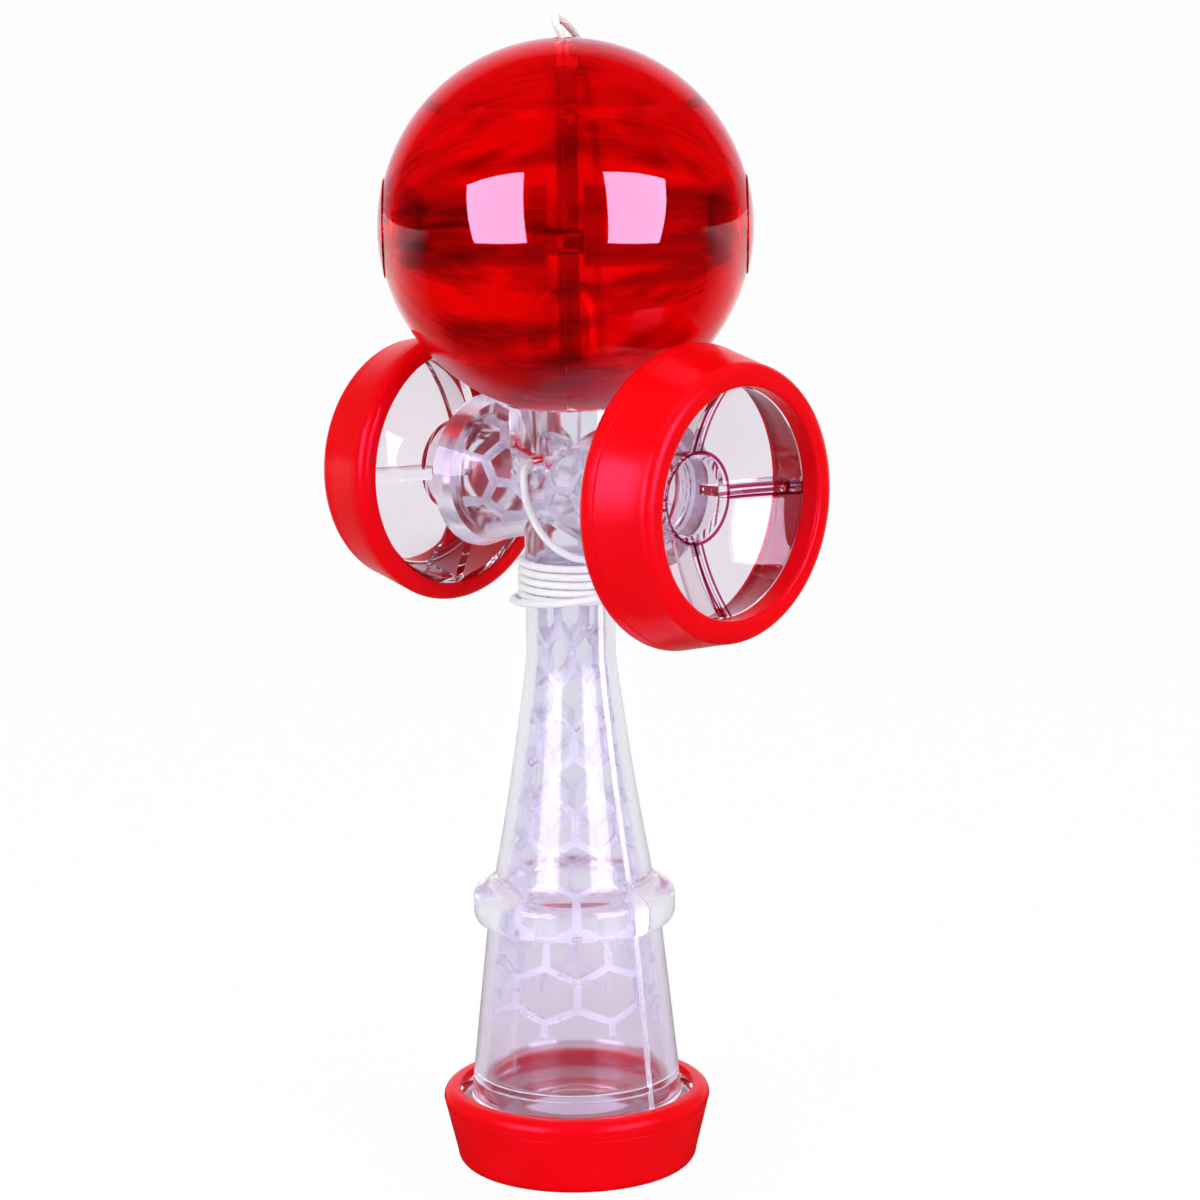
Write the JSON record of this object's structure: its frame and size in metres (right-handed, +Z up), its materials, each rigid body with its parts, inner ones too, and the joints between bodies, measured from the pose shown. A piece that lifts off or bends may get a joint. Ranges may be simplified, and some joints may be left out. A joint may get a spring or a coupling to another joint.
{
  "type": "kendama",
  "caption": "Clear plastic kendama with rubber-ringed cups, honeycomb-lined handle, a string wound on its neck and a translucent lit ball resting on the spike.",
  "frame": {"origin": "centre of the base cup's rim, on the plane it stands on", "axes": "+Z up the handle to the spike, +X out of the big cup, -Y towards the side with the string hole"},
  "size_m": [0.075, 0.06, 0.1894],
  "materials": {
    "clear_plastic": "clear, polished",
    "frosted_plastic": "frosted, translucent",
    "red_rubber": "satin",
    "red_clear_plastic": "translucent, polished",
    "string": "braided",
    "steel": "bright",
    "brass": "bright",
    "board": "matt",
    "light": "clear"
  },
  "bodies": {
    "ken": {"ken_front_shell": "clear_plastic", "ken_back_shell": "clear_plastic", "front_handle_net": "frosted_plastic", "back_handle_net": "frosted_plastic", "front_barrel_net": "frosted_plastic", "back_barrel_net": "frosted_plastic", "big_cup_dish": "clear_plastic", "small_cup_dish": "clear_plastic", "base_cup_dish": "clear_plastic", "big_cup_ring": "red_rubber", "small_cup_ring": "red_rubber", "base_cup_ring": "red_rubber", "anchor_knot": "string", "string_winding": "string", "string_run": "string"},
    "string_end": {"string_bead": "frosted_plastic", "string_knot": "string"},
    "tama": {"tama_left_half": "red_clear_plastic", "tama_right_half": "red_clear_plastic", "left_cap": "red_clear_plastic", "right_cap": "red_clear_plastic", "left_cells": "steel", "right_cells": "steel", "left_contact": "brass", "right_contact": "brass", "left_board": "board", "right_board": "board", "left_led": "light", "right_led": "light"}
  },
  "joints": [
    {"name": "tama_lift", "type": "slide", "parent": "ken", "child": "string_end", "axis": [0, 0, 1], "range_m": [0, 0.045], "deforming": ["string_run"]},
    {"name": "tama_spin", "type": "hinge", "parent": "string_end", "child": "tama", "pos_m": [0, 0, 0.156], "axis": [0, 0, 1], "continuous": true}
  ]
}
